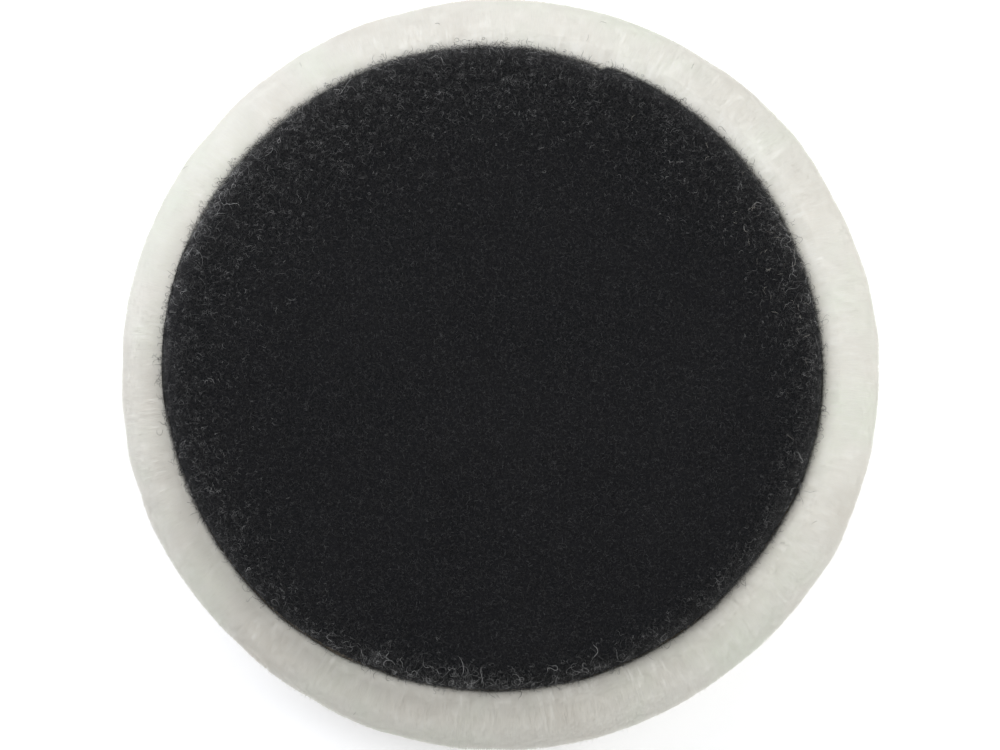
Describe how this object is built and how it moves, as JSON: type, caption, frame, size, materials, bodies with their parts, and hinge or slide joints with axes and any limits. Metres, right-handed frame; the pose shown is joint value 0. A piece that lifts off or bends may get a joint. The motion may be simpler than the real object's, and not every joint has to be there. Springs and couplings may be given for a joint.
{
  "type": "polishing pad",
  "caption": "Round lambswool polishing pad with a black brushed-loop back that presses onto a hook backing plate of a car polisher.",
  "frame": {"origin": "middle of the flat loop face, where the hook backing plate grips it", "axes": "+Z out of the loop face, away from the wool; the wool is trimmed 1.5 mm off the backing's middle, towards +X"},
  "size_m": [0.15, 0.15, 0.029],
  "materials": {
    "loop_fabric": "brushed nylon loop, matt charcoal black",
    "glue": "thin clear hot-melt film",
    "foam": "soft open-cell foam, dark grey",
    "skin": "tanned sheepskin, flesh side up",
    "wool": "combed natural lambswool, cream white"
  },
  "bodies": {
    "root": {"loop_backing": "loop_fabric", "backing_film": "glue", "foam_interface": "foam", "skin_film": "glue", "sheepskin": "skin", "wool_pile": "wool"}
  },
  "joints": []
}
